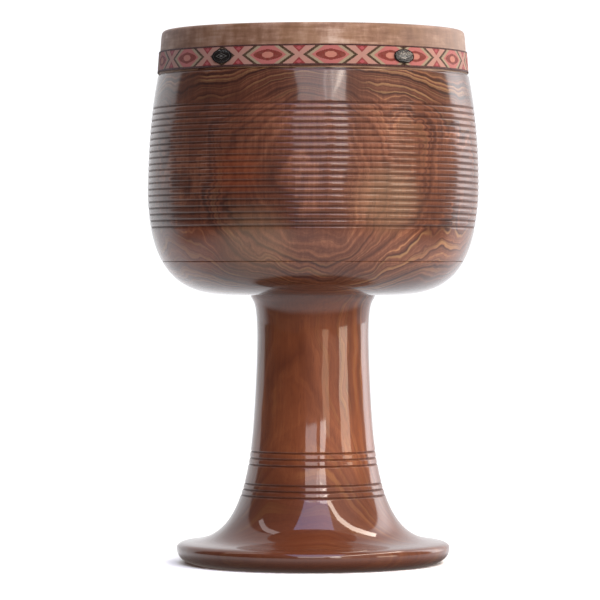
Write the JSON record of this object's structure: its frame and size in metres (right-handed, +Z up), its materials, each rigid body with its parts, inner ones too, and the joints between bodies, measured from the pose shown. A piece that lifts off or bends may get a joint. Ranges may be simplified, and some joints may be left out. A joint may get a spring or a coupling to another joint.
{
  "type": "goblet drum",
  "caption": "Wooden goblet drum: turned and grooved bowl on a waisted neck with a flared foot, hide head glued over the rim, woven ribbon round the hide's edge, oval domed badges.",
  "frame": {"origin": "on the floor, on the drum's axis, in the middle of the ring that the foot stands on", "axes": "+Z up along the drum's axis towards the head; the front, midway between the two badges, faces -Y; +X to the right"},
  "size_m": [0.2804, 0.2804, 0.45],
  "materials": {
    "bowl_wood": "figured wood, stained reddish brown, under glossy lacquer",
    "neck_wood": "plainer wood, stained orange brown, under high gloss lacquer",
    "hide": "thin scraped hide, satin, a little translucent",
    "woven_ribbon": "matt jacquard-woven ribbon with a lozenge pattern and dark edges",
    "badge_plate": null,
    "badge_dome": "clear cast resin dome, glossy"
  },
  "bodies": {
    "root": {"bowl": "bowl_wood", "neck_and_foot": "neck_wood", "hide_head": "hide", "ribbon_front": "woven_ribbon", "ribbon_rear": "woven_ribbon", "badge_plate_left": "badge_plate", "badge_dome_left": "badge_dome", "badge_plate_right": "badge_plate", "badge_dome_right": "badge_dome"}
  },
  "joints": []
}
